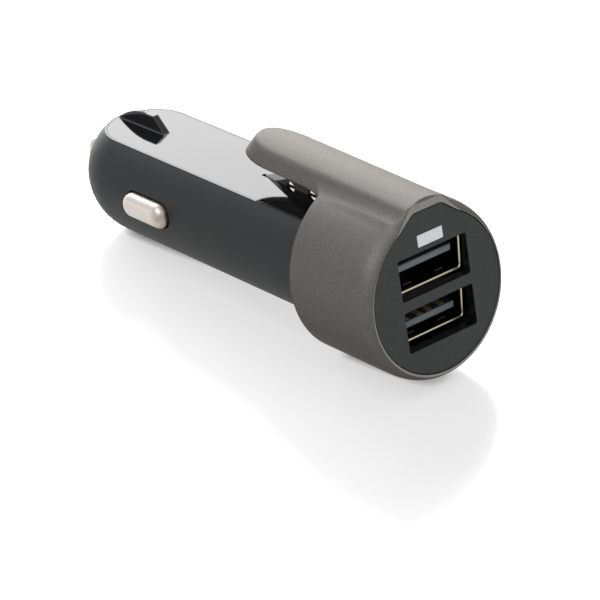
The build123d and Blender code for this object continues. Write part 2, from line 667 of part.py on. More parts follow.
def make_capacitor(radius, length, y):
    """Round can lying under the board, with the rolled groove near its rubber end."""
    low = -BOARD_TOP - radius
    can = rod(radius, y, y + length, 0, low)
    ring = rod(radius, y + CAPACITOR_GROOVE_Y, y + CAPACITOR_GROOVE_Y + 2 * CAPACITOR_GROOVE, 0, low)
    ring -= rod(radius - CAPACITOR_GROOVE, y, y + length, 0, low)
    return can - ring


NODES = {
    "barrel_shell": make_barrel_shell(),
    "top_cover": make_top_cover(),
    "collar": make_collar(),
    "front_panel": make_front_panel(),
    "cutter_blade": make_cutter_blade(),
    "usb_shell_upper": make_usb_shell(),
    "usb_tongue_upper": make_usb_tongue(),
    "usb_contacts_upper": make_usb_contacts(),
    "usb_shell_lower": mirror(make_usb_shell(), about=UPPER_TO_LOWER),
    "usb_tongue_lower": mirror(make_usb_tongue(), about=UPPER_TO_LOWER),
    "usb_contacts_lower": mirror(make_usb_contacts(), about=UPPER_TO_LOWER),
    "led_lamp": make_led_lamp(),
    "led_leads": make_led_leads(),
    "tip_contact": make_tip_contact(),
    "tip_spring": make_tip_spring(),
    "tip_terminal": make_tip_terminal(),
    "ground_contact_right": make_ground_contact(),
    "ground_contact_left": mirror(make_ground_contact(), about=RIGHT_TO_LEFT),
    "main_board": make_main_board(),
    "converter_chip": make_converter_chip(),
    "catch_diode": make_catch_diode(),
    "inductor_core": make_inductor_core(),
    "inductor_winding": make_inductor_winding(),
    "input_capacitor": make_capacitor(CAPACITOR_IN_RADIUS, CAPACITOR_IN_LENGTH, CAPACITOR_IN_Y),
    "output_capacitor": make_capacitor(CAPACITOR_OUT_RADIUS, CAPACITOR_OUT_LENGTH, CAPACITOR_OUT_Y),
}

os.makedirs("parts", exist_ok=True)
for name, shape in NODES.items():
    export_step(shape, f"parts/{name}.step")
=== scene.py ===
import json
from math import asin, atan2, cos, hypot, pi, radians, sin

import bmesh
import bpy
from mathutils import Matrix, Vector


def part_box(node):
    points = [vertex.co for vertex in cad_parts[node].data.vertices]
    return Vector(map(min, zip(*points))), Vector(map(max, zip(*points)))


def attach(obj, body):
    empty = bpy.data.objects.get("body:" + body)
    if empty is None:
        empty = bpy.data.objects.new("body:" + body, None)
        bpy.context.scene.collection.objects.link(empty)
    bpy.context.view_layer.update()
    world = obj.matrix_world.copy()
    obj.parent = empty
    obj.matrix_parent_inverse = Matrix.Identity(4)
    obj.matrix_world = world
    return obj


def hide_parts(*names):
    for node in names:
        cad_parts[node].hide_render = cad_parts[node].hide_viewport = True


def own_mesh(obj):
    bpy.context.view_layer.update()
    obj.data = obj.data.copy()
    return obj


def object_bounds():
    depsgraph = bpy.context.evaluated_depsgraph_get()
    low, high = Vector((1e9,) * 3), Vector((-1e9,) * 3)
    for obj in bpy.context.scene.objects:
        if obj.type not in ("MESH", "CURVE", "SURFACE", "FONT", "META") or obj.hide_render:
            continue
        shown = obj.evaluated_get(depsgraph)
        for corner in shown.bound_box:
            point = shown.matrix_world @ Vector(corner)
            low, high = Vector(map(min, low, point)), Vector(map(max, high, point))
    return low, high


bl_info = {
    "name": "Car Charger Plug",
    "version": (1, 0, 0),
    "blender": (4, 5, 0),
    "location": "View3D > Sidebar > Charger Plug",
    "description": "Dresses the charger plug's solids with finishes, and sets its stage and camera",
    "category": "Object",
}

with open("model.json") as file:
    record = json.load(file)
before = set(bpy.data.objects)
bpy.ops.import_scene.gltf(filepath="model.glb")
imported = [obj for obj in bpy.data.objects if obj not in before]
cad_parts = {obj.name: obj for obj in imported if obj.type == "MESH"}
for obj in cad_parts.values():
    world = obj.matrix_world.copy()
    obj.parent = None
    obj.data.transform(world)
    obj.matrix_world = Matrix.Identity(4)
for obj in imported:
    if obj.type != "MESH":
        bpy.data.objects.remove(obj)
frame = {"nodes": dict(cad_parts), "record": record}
CAD_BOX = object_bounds()

# A millimetre, in metres
MM = 0.001

BODIES = frame["record"]["behaviour"]["bodies"]
BODY_OF_NODE = {node: body for body, nodes in BODIES.items() for node in nodes}

# Picture's side in pixels, and the camera's sensor in millimetres
PICTURE_SIDE = 600
SENSOR_WIDTH = 36.0

# Half the side of the floor, in metres
FLOOR_REACH = 3.0

# Cosines for sorting faces: along a direction, and within 60 degrees of it
ALONG = 0.999
FACING = 0.5

# Cosines between which a side of the blade counts as ground on a slant
LEAST_SLANT = 0.1
MOST_SLANT = 0.995

# Share of the panel's radius that holds the wells of the ports and the lamp, whose walls get painted
# shade
WELL_SHARE = 0.9

# Corners nearer than this are welded together
WELD_GAP = 0.0005 * MM

# Samples for the edges that are rounded in the shading
EDGE_SAMPLES = 6

# Brushed lines for each metre, across and along the plug's axis
BRUSH_SCALE = (9000.0, 250.0, 9000.0)


class PlugFinish(bpy.types.PropertyGroup):
    """Colours and surface sizes of the plug's finishes."""

    barrel_black: bpy.props.FloatVectorProperty(
        name="Barrel black", description="Matte moulded black of the barrel",
        subtype="COLOR", default=(0.0195, 0.0204, 0.0222), min=0, max=1,
    )
    gloss_black: bpy.props.FloatVectorProperty(
        name="Gloss black", description="Polished black of the cover on the flat",
        subtype="COLOR", default=(0.004, 0.0045, 0.006), min=0, max=1,
    )
    fin_black: bpy.props.FloatVectorProperty(
        name="Fin black", description="Duller black of the cover's fin",
        subtype="COLOR", default=(0.009, 0.0095, 0.011), min=0, max=1,
    )
    collar_taupe: bpy.props.FloatVectorProperty(
        name="Collar taupe", description="Metallic paint of the collar and hook",
        subtype="COLOR", default=(0.120, 0.1145, 0.1095), min=0, max=1,
    )
    # Painted highlight: lighter paint on the rim's face round the panel, for the light that its edge
    # catches
    lip_highlight_taupe: bpy.props.FloatVectorProperty(
        name="Lip highlight taupe", description="Brighter edge of the collar round the panel",
        subtype="COLOR", default=(0.26, 0.249, 0.237), min=0, max=1,
    )
    paint_edge: bpy.props.FloatVectorProperty(
        name="Paint edge tint", description="Darkens the collar's paint where it is seen edge-on",
        subtype="COLOR", default=(0.5, 0.49, 0.48), min=0, max=1,
    )
    panel_grey: bpy.props.FloatVectorProperty(
        name="Panel grey", description="Matte dark grey of the ports' panel",
        subtype="COLOR", default=(0.067, 0.070, 0.070), min=0, max=1,
    )
    blade_black: bpy.props.FloatVectorProperty(
        name="Blade coating", description="Dark coating on the blade's sides",
        subtype="COLOR", default=(0.12, 0.118, 0.115), min=0, max=1,
    )
    ground_steel: bpy.props.FloatVectorProperty(
        name="Ground steel", description="Bare steel of the blade's ground edge",
        subtype="COLOR", default=(0.62, 0.62, 0.63), min=0, max=1,
    )
    nickel: bpy.props.FloatVectorProperty(
        name="Nickel", description="Bright plate of the socket contacts",
        subtype="COLOR", default=(0.60, 0.55, 0.51), min=0, max=1,
    )
    # The side contacts turn a blotchy darker brown towards their ends nearer the ports
    brown_tint: bpy.props.FloatVectorProperty(
        name="Brown tint", description="Brown of the worn ends of the side contacts",
        subtype="COLOR", default=(0.34, 0.29, 0.245), min=0, max=1,
    )
    tint_start: bpy.props.FloatProperty(
        name="Tint start", description="Where the tarnish begins on the side contacts, along the axis",
        unit="LENGTH", default=36.3 * MM,
    )
    tint_full: bpy.props.FloatProperty(
        name="Tint full", description="Where the tarnish is at its strongest, nearer the ports",
        unit="LENGTH", default=34.5 * MM,
    )
    port_plate: bpy.props.FloatVectorProperty(
        name="Port plate", description="Warm plate of the ports' shells",
        subtype="COLOR", default=(0.60, 0.53, 0.40), min=0, max=1,
    )
    # Painted shade: the plate deeper in the ports' shells is darkened for the shade inside the ports
    port_inside_shade: bpy.props.FloatVectorProperty(
        name="Port inside shade", description="Dulled plate deeper in the ports' shells",
        subtype="COLOR", default=(0.06, 0.055, 0.05), min=0, max=1,
    )
    # The mouth lip and the lip fade say where the bright plate gives way to the painted shade
    mouth_lip: bpy.props.FloatProperty(
        name="Mouth lip", description="How far the bright plate runs into the ports' mouths",
        unit="LENGTH", default=0.12 * MM, min=0,
    )
    lip_fade: bpy.props.FloatProperty(
        name="Lip fade", description="Over what length the bright plate turns dull",
        unit="LENGTH", default=0.02 * MM, min=0,
    )
    tongue_grey: bpy.props.FloatVectorProperty(
        name="Tongue grey", description="Blue-grey of the ports' tongues",
        subtype="COLOR", default=(0.34, 0.385, 0.42), min=0, max=1,
    )
    contact_gold: bpy.props.FloatVectorProperty(
        name="Contact gold", description="Gold flash of the ports' contact strips",
        subtype="COLOR", default=(0.83, 0.60, 0.30), min=0, max=1,
    )
    lamp_white: bpy.props.FloatVectorProperty(
        name="Lamp white", description="Milky lens of the indicator lamp",
        subtype="COLOR", default=(0.82, 0.82, 0.85), min=0, max=1,
    )
    lamp_glow: bpy.props.FloatProperty(
        name="Lamp glow", description="How much the lamp's lens shines by itself", default=0.28, min=0,
    )
    lamp_depth: bpy.props.FloatProperty(
        name="Lamp depth", description="How far light spreads inside the lamp's milky lens",
        unit="LENGTH", default=0.5 * MM, min=0,
    )
    board_green: bpy.props.FloatVectorProperty(
        name="Board green", description="Dark green lacquer of the circuit board",
        subtype="COLOR", default=(0.006, 0.014, 0.010), min=0, max=1,
    )
    package_black: bpy.props.FloatVectorProperty(
        name="Package black", description="Moulded black of the chip and the diode",
        subtype="COLOR", default=(0.02, 0.02, 0.022), min=0, max=1,
    )
    ferrite_grey: bpy.props.FloatVectorProperty(
        name="Ferrite grey", description="Pressed ferrite of the inductor's core",
        subtype="COLOR", default=(0.05, 0.05, 0.054), min=0, max=1,
    )
    winding_copper: bpy.props.FloatVectorProperty(
        name="Winding copper", description="Enamelled copper of the inductor's winding",
        subtype="COLOR", default=(0.62, 0.26, 0.11), min=0, max=1,
    )
    can_grey: bpy.props.FloatVectorProperty(
        name="Can grey", description="Aluminium of the capacitors' cans",
        subtype="COLOR", default=(0.5, 0.51, 0.53), min=0, max=1,
    )
    terminal_brass: bpy.props.FloatVectorProperty(
        name="Terminal brass", description="Brass of the plate behind the tip's spring",
        subtype="COLOR", default=(0.78, 0.58, 0.28), min=0, max=1,
    )
    grain_size: bpy.props.FloatProperty(
        name="Grain size", description="Size of the moulded grain on the matte pieces",
        unit="LENGTH", default=0.24 * MM, min=0.01 * MM,
    )
    flake_size: bpy.props.FloatProperty(
        name="Flake size", description="Size of the metal flakes in the collar's paint",
        unit="LENGTH", default=0.18 * MM, min=0.01 * MM,
    )
    edge_round: bpy.props.FloatProperty(
        name="Edge round", description="Soft round that mouldings have on their edges",
        unit="LENGTH", default=0.12 * MM, min=0,
    )
    paint_round: bpy.props.FloatProperty(
        name="Paint round", description="How far the paint rounds over the collar's soft edges",
        unit="LENGTH", default=0.45 * MM, min=0,
    )
    fin_round: bpy.props.FloatProperty(
        name="Fin round", description="Soft round on the edges of the cover's fin",
        unit="LENGTH", default=0.5 * MM, min=0,
    )
    smooth_angle: bpy.props.FloatProperty(
        name="Smooth angle", description="Faces that meet at less than this show as one round surface",
        subtype="ANGLE", default=radians(26), min=0, max=pi,
    )
    blade_angle: bpy.props.FloatProperty(
        name="Blade smooth angle", description="Smooth angle of the blade, whose ground edge stays crisp",
        subtype="ANGLE", default=radians(5), min=0, max=pi,
    )
    shell_angle: bpy.props.FloatProperty(
        name="Shell smooth angle", description="Smooth angle of the ports' folded shells",
        subtype="ANGLE", default=radians(15), min=0, max=pi,
    )
    spring_angle: bpy.props.FloatProperty(
        name="Spring smooth angle", description="Smooth angle of the spring's round wire",
        subtype="ANGLE", default=radians(65), min=0, max=pi,
    )


class PlugStage(bpy.types.PropertyGroup):
    """Camera, floor and lamps."""

    yaw: bpy.props.FloatProperty(
        name="Camera yaw", description="Turn of the camera round the plug",
        subtype="ANGLE", default=radians(-38.795),
    )
    rise: bpy.props.FloatProperty(
        name="Camera rise", description="Height angle of the camera",
        subtype="ANGLE", default=radians(26.447),
    )
    roll: bpy.props.FloatProperty(
        name="Camera roll", description="Roll of the camera about its axis",
        subtype="ANGLE", default=radians(-4.499),
    )
    distance: bpy.props.FloatProperty(
        name="Camera distance", description="From the camera to the plug",
        unit="LENGTH", default=520 * MM, min=0.1,
    )
    pixels_per_mm: bpy.props.FloatProperty(
        name="Picture scale", description="Pixels for each millimetre at the plug's origin",
        default=6.603, min=0.1,
    )
    origin_place: bpy.props.FloatVectorProperty(
        name="Origin's place", description="Where the plug's origin shows in the picture, in pixels",
        size=2, default=(359.77, 259.17),
    )
    collar_radius: bpy.props.FloatProperty(
        name="Collar radius", description="Radius of the collar where it lies on the floor",
        unit="LENGTH", default=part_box("collar")[1].x, min=0,
    )
    collar_touch: bpy.props.FloatProperty(
        name="Collar touch", description="Where the collar touches the floor, as a share of its radius",
        default=0.1, min=0, max=1,
    )
    nose_round: bpy.props.FloatProperty(
        name="Nose round", description="Radius of the barrel's rounded nose",
        unit="LENGTH", default=11.1 * MM, min=0,
    )
    nose_start: bpy.props.FloatProperty(
        name="Nose start", description="Where the barrel begins to round over",
        unit="LENGTH", default=50.2 * MM,
    )
    nose_offset: bpy.props.FloatProperty(
        name="Nose offset", description="How far above the axis the centre of the nose's round lies",
        unit="LENGTH", default=0.7 * MM,
    )
    floor_white: bpy.props.FloatProperty(
        name="Floor white", description="Lightness of the floor", default=0.40, min=0, max=1,
    )
    floor_glow: bpy.props.FloatProperty(
        name="Floor glow", description="The floor's own white, as on a lit table",
        default=0.60, min=0, max=1,
    )
    shade_reach: bpy.props.FloatProperty(
        name="Shade reach", description="How far the plug's own shade spreads over the lit floor",
        unit="LENGTH", default=1.4 * MM, min=0,
    )
    room_light: bpy.props.FloatProperty(
        name="Room light", description="Even light from all round", default=0.38, min=0,
    )
    top_light: bpy.props.FloatProperty(
        name="Top light", description="Brightness of the softbox above", default=1.7, min=0,
    )
    top_bearing: bpy.props.FloatProperty(
        name="Top bearing", description="Bearing of the softbox above from the plug's axis",
        subtype="ANGLE", default=radians(-90),
    )
    top_rise: bpy.props.FloatProperty(
        name="Top rise", description="Height angle of the softbox above",
        subtype="ANGLE", default=radians(52),
    )
    top_distance: bpy.props.FloatProperty(
        name="Top distance", description="From the plug to the softbox above",
        unit="LENGTH", default=800 * MM, min=0.1,
    )
    top_side: bpy.props.FloatProperty(
        name="Top side", description="Side of the square softbox above",
        unit="LENGTH", default=700 * MM, min=0,
    )
    back_light: bpy.props.FloatProperty(
        name="Back light", description="Brightness of the softbox that the flat mirrors",
        default=5.9, min=0,
    )
    back_bearing: bpy.props.FloatProperty(
        name="Back bearing", description="Bearing of the back softbox from the plug's axis",
        subtype="ANGLE", default=radians(28),
    )
    back_rise: bpy.props.FloatProperty(
        name="Back rise", description="Height angle of the back softbox",
        subtype="ANGLE", default=radians(26),
    )
    back_distance: bpy.props.FloatProperty(
        name="Back distance", description="From the plug to the back softbox",
        unit="LENGTH", default=700 * MM, min=0.1,
    )
    back_side: bpy.props.FloatProperty(
        name="Back side", description="Side of the square back softbox",
        unit="LENGTH", default=660 * MM, min=0,
    )


def rgba(colour):
    return (colour[0], colour[1], colour[2], 1.0)


class Wiring:
    """Places and joins the nodes of one shader tree."""

    def __init__(self, tree):
        self.tree = tree
        tree.nodes.clear()

    def add(self, kind, **inputs):
        """Places a node and sets its sockets, whose names have _ for each space."""
        node = self.tree.nodes.new(kind)
        for name, value in inputs.items():
            node.inputs[name.replace("_", " ")].default_value = value
        return node

    def add_group(self, name, build, **inputs):
        """Places a shared node group, which is built the first time that it is used."""
        node = self.tree.nodes.new("ShaderNodeGroup")
        node.node_tree = bpy.data.node_groups.get(name) or build(name)
        for socket, value in inputs.items():
            node.inputs[socket].default_value = value
        return node

    def maths(self, operation, *values):
        """Places a maths node on sockets and plain numbers, and gives its result."""
        node = self.tree.nodes.new("ShaderNodeMath")
        node.operation = operation
        for socket, value in zip(node.inputs, values):
            if isinstance(value, bpy.types.NodeSocket):
                self.join(value, socket)
            else:
                socket.default_value = value
        return node.outputs["Value"]

    def object_place(self):
        """Coordinates that stay with the piece."""
        return self.add("ShaderNodeTexCoord").outputs["Object"]

    def join(self, start, end):
        self.tree.links.new(start, end)


def new_group(name, inputs, outputs):
    """Shader node group with float inputs, given with their defaults, and float outputs."""
    tree = bpy.data.node_groups.new(name, "ShaderNodeTree")
    for socket, default in inputs.items():
        made = tree.interface.new_socket(socket, in_out="INPUT", socket_type="NodeSocketFloat")
        made.default_value = default
    for socket in outputs:
        tree.interface.new_socket(socket, in_out="OUTPUT", socket_type="NodeSocketFloat")
    wiring = Wiring(tree)
    return tree, wiring, wiring.add("NodeGroupInput"), wiring.add("NodeGroupOutput")


def swung_lightness(wiring, pattern, contrast):
    """Lightness that swings about one as a pattern swings about a half."""
    centred = wiring.maths("SUBTRACT", pattern, 0.5)
    return wiring.maths("MULTIPLY_ADD", centred, contrast, 1.0)


def spread_roughness(wiring, pattern, inside):
    """A group's roughness, raised by its spread as a pattern rises."""
    return wiring.maths("MULTIPLY_ADD", pattern, inside.outputs["Spread"], inside.outputs["Roughness"])


def grain_group(name):
    """Moulded grain: fine pits for a bump and a mottled tone, and a faint unevenness of the gloss."""
    tree, wiring, inside, out = new_group(
        name,
        {"Scale": 6000.0, "Mottle": 0.7, "Roughness": 0.5, "Spread": 0.06},
        ["Height", "Lightness", "Roughness"],
    )
    place = wiring.object_place()
    pits = wiring.add("ShaderNodeTexNoise", Detail=2.0)
    wiring.join(place, pits.inputs["Vector"])
    wiring.join(inside.outputs["Scale"], pits.inputs["Scale"])
    wiring.join(pits.outputs["Fac"], out.inputs["Height"])
    lightness = swung_lightness(wiring, pits.outputs["Fac"], inside.outputs["Mottle"])
    wiring.join(lightness, out.inputs["Lightness"])
    patches = wiring.add("ShaderNodeTexNoise", Scale=140.0, Detail=4.0)
    wiring.join(place, patches.inputs["Vector"])
    wiring.join(spread_roughness(wiring, patches.outputs["Fac"], inside), out.inputs["Roughness"])
    return tree


def flake_group(name):
    """Metal flakes: small cells that are each a little lighter or darker."""
    tree, wiring, inside, out = new_group(name, {"Scale": 9000.0, "Contrast": 0.22}, ["Lightness"])
    cells = wiring.add("ShaderNodeTexVoronoi")
    wiring.join(wiring.object_place(), cells.inputs["Vector"])
    wiring.join(inside.outputs["Scale"], cells.inputs["Scale"])
    split = wiring.add("ShaderNodeSeparateColor")
    wiring.join(cells.outputs["Color"], split.inputs["Color"])
    lightness = swung_lightness(wiring, split.outputs["Red"], inside.outputs["Contrast"])
    wiring.join(lightness, out.inputs["Lightness"])
    return tree


def brushed_group(name):
    """Brushed lines along the plug's axis."""
    tree, wiring, inside, out = new_group(
        name, {"Roughness": 0.3, "Spread": 0.12}, ["Height", "Roughness"],
    )
    stretch = wiring.add("ShaderNodeMapping", Scale=BRUSH_SCALE)
    wiring.join(wiring.object_place(), stretch.inputs["Vector"])
    lines = wiring.add("ShaderNodeTexNoise", Scale=1.0, Detail=2.0)
    wiring.join(stretch.outputs["Vector"], lines.inputs["Vector"])
    wiring.join(lines.outputs["Fac"], out.inputs["Height"])
    wiring.join(spread_roughness(wiring, lines.outputs["Fac"], inside), out.inputs["Roughness"])
    return tree


def new_material(name, colour, **surface):
    """Material with a Principled surface; returns it with its wiring and that surface."""
    material = bpy.data.materials.new(name)
    material.use_nodes = True
    wiring = Wiring(material.node_tree)
    out = wiring.add("ShaderNodeOutputMaterial")
    finish = wiring.add("ShaderNodeBsdfPrincipled", Base_Color=rgba(colour), **surface)
    wiring.join(finish.outputs["BSDF"], out.inputs["Surface"])
    return material, wiring, finish


def plain(name, colour, **surface):
    """Material that is the same all over."""
    return new_material(name, colour, **surface)[0]


def toned_colour(wiring, finish, colour, lightness):
    """Base colour made lighter and darker by a pattern."""
    tone = wiring.add("ShaderNodeMix")
    tone.data_type = "RGBA"
    tone.blend_type = "MULTIPLY"
    tone.inputs["Factor"].default_value = 1.0
    tone.inputs["A"].default_value = rgba(colour)
    wiring.join(lightness, tone.inputs["B"])
    wiring.join(tone.outputs["Result"], finish.inputs["Base Color"])


def mixed_colour(wiring, finish, mask, first, second):
    """Base colour that goes from the first to the second as the mask rises."""
    mix = wiring.add("ShaderNodeMix")
    mix.data_type = "RGBA"
    mix.inputs["A"].default_value = rgba(first)
    mix.inputs["B"].default_value = rgba(second)
    wiring.join(mask, mix.inputs["Factor"])
    wiring.join(mix.outputs["Result"], finish.inputs["Base Color"])


def along_axis(wiring, start, end):
    """Mask that rises from nought to one between two places along the plug's axis."""
    parts = wiring.add("ShaderNodeSeparateXYZ")
    wiring.join(wiring.object_place(), parts.inputs["Vector"])
    ramp = wiring.add("ShaderNodeMapRange", From_Min=start, From_Max=end)
    wiring.join(parts.outputs["Y"], ramp.inputs["Value"])
    return ramp.outputs["Result"]


def bumped(wiring, height, depth):
    """Bump node that raises the surface by a pattern."""
    bump = wiring.add("ShaderNodeBump", Strength=1.0, Distance=depth)
    wiring.join(height, bump.inputs["Height"])
    return bump


def soft_edges(wiring, edge_round):
    """Normal that rounds the edges a little in the shading."""
    rounding = wiring.add("ShaderNodeBevel", Radius=edge_round)
    rounding.samples = EDGE_SAMPLES
    return rounding.outputs["Normal"]


def grained(name, colour, finish_settings, roughness, depth):
    """Matte moulded plastic with a fine grain and soft edges."""
    material, wiring, finish = new_material(name, colour, Specular_IOR_Level=0.28)
    grain = wiring.add_group(
        "Moulded grain", grain_group, Scale=1.0 / finish_settings.grain_size, Roughness=roughness,
    )
    toned_colour(wiring, finish, colour, grain.outputs["Lightness"])
    wiring.join(grain.outputs["Roughness"], finish.inputs["Roughness"])
    bump = bumped(wiring, grain.outputs["Height"], depth)
    wiring.join(soft_edges(wiring, finish_settings.edge_round), bump.inputs["Normal"])
    wiring.join(bump.outputs["Normal"], finish.inputs["Normal"])
    return material


def brushed(name, colour, roughness, depth):
    """Metal with brushed lines."""
    material, wiring, finish = new_material(name, colour, Metallic=1.0)
    lines = wiring.add_group("Brushed lines", brushed_group, Roughness=roughness)
    wiring.join(lines.outputs["Roughness"], finish.inputs["Roughness"])
    bump = bumped(wiring, lines.outputs["Height"], depth)
    wiring.join(bump.outputs["Normal"], finish.inputs["Normal"])
    return material


def metallic_paint(name, colour, finish_settings, edge_round):
    """Satin paint with fine metal flakes, darker where it is seen edge-on."""
    edge_tint = rgba(finish_settings.paint_edge)
    material, wiring, finish = new_material(
        name, colour, Metallic=0.85, Roughness=0.48, IOR=1.35, Specular_Tint=edge_tint,
    )
    flakes = wiring.add_group("Metal flakes", flake_group, Scale=1.0 / finish_settings.flake_size)
    toned_colour(wiring, finish, colour, flakes.outputs["Lightness"])
    wiring.join(soft_edges(wiring, edge_round), finish.inputs["Normal"])
    return material


def gloss_plastic(name, finish_settings):
    """Polished black plastic of the flat."""
    return plain(name, finish_settings.gloss_black, Roughness=0.05, IOR=1.33)


def satin_plastic(name, finish_settings, shine):
    """Duller black plastic of the fin, with soft edges."""
    material, wiring, finish = new_material(
        name, finish_settings.fin_black, Roughness=0.1, IOR=1.4, Specular_IOR_Level=shine,
    )
    wiring.join(soft_edges(wiring, finish_settings.fin_round), finish.inputs["Normal"])
    return material


def lipped_plate(name, finish_settings, mouth):
    """Plated sheet, bright on the lip of its mouth, with painted shade behind it for the shade inside the
    port.
    """
    bright, shaded_plate = finish_settings.port_plate, finish_settings.port_inside_shade
    lip_end = mouth + finish_settings.mouth_lip
    material, wiring, finish = new_material(name, bright, Metallic=1.0, Roughness=0.3)
    # Painted shade: past the lip the plate goes over to the dark colour that stands for the shade inside
    inside = along_axis(wiring, lip_end, lip_end + finish_settings.lip_fade)
    mixed_colour(wiring, finish, inside, bright, shaded_plate)
    return material


def tinted_plate(name, finish_settings):
    """Nickel that turns a blotchy darker brown towards its end nearer the ports."""
    nickel, brown_tint = finish_settings.nickel, finish_settings.brown_tint
    material, wiring, finish = new_material(name, nickel, Metallic=1.0, Roughness=0.32)
    tinted_end = along_axis(wiring, finish_settings.tint_start, finish_settings.tint_full)
    blots = wiring.add("ShaderNodeTexNoise", Scale=700.0, Detail=3.0)
    wiring.join(wiring.object_place(), blots.inputs["Vector"])
    uneven = wiring.add("ShaderNodeMapRange", From_Min=0.35, From_Max=0.6, To_Min=0.4)
    wiring.join(blots.outputs["Fac"], uneven.inputs["Value"])
    mask = wiring.maths("MULTIPLY", tinted_end, uneven.outputs["Result"])
    mixed_colour(wiring, finish, mask, nickel, brown_tint)
    return material


def paint_node(node, material):
    """Gives a solid its finish without changing its shape."""
    mesh = frame["nodes"][node].data
    mesh.materials.clear()
    mesh.materials.append(material)


def welded_piece(node, materials, smooth_angle):
    """Shows a solid as one welded mesh, smooth over its rounds and sharp at its edges."""
    mesh = frame["nodes"][node].data.copy()
    mesh.name = f"{node}_finished"
    if "custom_normal" in mesh.attributes:
        mesh.attributes.remove(mesh.attributes["custom_normal"])
    form = bmesh.new()
    form.from_mesh(mesh)
    bmesh.ops.remove_doubles(form, verts=form.verts, dist=WELD_GAP)
    for face in form.faces:
        face.smooth = True
    for edge in form.edges:
        edge.smooth = edge.is_manifold and edge.calc_face_angle(pi) < smooth_angle
    form.to_mesh(mesh)
    form.free()
    mesh.materials.clear()
    for material in materials:
        mesh.materials.append(material)
    piece = bpy.data.objects.new(mesh.name, mesh)
    bpy.context.scene.collection.objects.link(piece)
    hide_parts(node)
    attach(piece, BODY_OF_NODE[node])
    return piece


def front_direction(piece):
    """Direction that the foremost face of a piece looks in."""
    return min(piece.data.polygons, key=lambda face: face.center.y).normal.copy()


class PLUG_OT_barrel(bpy.types.Operator):
    """Matte black barrel"""

    bl_idname = "plug.barrel"
    bl_label = "Barrel"

    def execute(self, context):
        finish = context.scene.plug_finish
        black = grained("Barrel black", finish.barrel_black, finish, roughness=0.52, depth=0.03 * MM)
        border = gloss_plastic("Gloss border", finish)
        barrel = welded_piece("barrel_shell", [black, border], finish.smooth_angle)
        # The narrow level border round the cover is polished like it
        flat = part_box("barrel_shell")[1].z
        for face in barrel.data.polygons:
            upper = face.center.y > 0 and face.center.z > 0.5 * flat
            face.material_index = int(upper and face.normal.z > ALONG)
        return {"FINISHED"}


class PLUG_OT_cover(bpy.types.Operator):
    """Gloss black cover on the flat, with its fin"""

    bl_idname = "plug.cover"
    bl_label = "Gloss cover"

    def execute(self, context):
        finish = context.scene.plug_finish
        flat = gloss_plastic("Gloss flat", finish)
        fin = satin_plastic("Satin fin", finish, shine=0.5)
        crest = satin_plastic("Satin crest", finish, shine=0.06)
        cover = welded_piece("top_cover", [flat, fin, crest], finish.smooth_angle)
        # Faces that don't look straight up have the fin's finish, and its crest a duller one
        for face in cover.data.polygons:
            raised = face.normal.z < ALONG
            on_crest = raised and face.normal.z > FACING and face.normal.y > 0
            face.material_index = int(raised) + int(on_crest)
        return {"FINISHED"}


class PLUG_OT_collar(bpy.types.Operator):
    """Painted collar with its ridge and hook, and a painted highlight on its rim's lip"""

    bl_idname = "plug.collar"
    bl_label = "Collar and hook"

    def execute(self, context):
        finish = context.scene.plug_finish
        paint = metallic_paint("Collar paint", finish.collar_taupe, finish, finish.paint_round)
        lip = metallic_paint("Collar lip highlight", finish.lip_highlight_taupe, finish, finish.edge_round)
        collar = welded_piece("collar", [paint, lip], finish.smooth_angle)
        # The rim's face round the panel is the lip, in a lighter paint that is a painted highlight
        front = front_direction(collar)
        for face in collar.data.polygons:
            face.material_index = int(face.normal.dot(front) > ALONG)
        return {"FINISHED"}


class PLUG_OT_panel(bpy.types.Operator):
    """Dark panel round the ports, with painted shade on the walls of its wells"""

    bl_idname = "plug.panel"
    bl_label = "Front panel"

    def execute(self, context):
        finish = context.scene.plug_finish
        grey = grained("Panel grey", finish.panel_grey, finish, roughness=0.55, depth=0.03 * MM)
        well_shade = grained("Well painted shade", finish.gloss_black, finish, roughness=0.35, depth=0.004 * MM)
        panel = welded_piece("front_panel", [grey, well_shade], finish.smooth_angle)
        # Walls that go back into the panel, away from its rim, are the wells, painted near black as
        # painted shade
        front = front_direction(panel)
        inner = WELL_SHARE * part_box("front_panel")[1].x
        for face in panel.data.polygons:
            within = hypot(face.center.x, face.center.z) < inner
            face.material_index = int(within and abs(face.normal.dot(front)) < FACING)
        return {"FINISHED"}


class PLUG_OT_blade(bpy.types.Operator):
    """Cutter blade with its ground edge"""

    bl_idname = "plug.blade"
    bl_label = "Cutter blade"

    def execute(self, context):
        finish = context.scene.plug_finish
        coated = grained("Blade coating", finish.blade_black, finish, roughness=0.3, depth=0.002 * MM)
        ground = brushed("Ground steel", finish.ground_steel, roughness=0.22, depth=0.002 * MM)
        blade = welded_piece("cutter_blade", [coated, ground], finish.blade_angle)
        # Slanted faces that look up are ground, and the rest is coated
        for face in blade.data.polygons:
            slanted = LEAST_SLANT < abs(face.normal.x) < MOST_SLANT
            face.material_index = int(slanted and face.normal.z > 0)
        return {"FINISHED"}


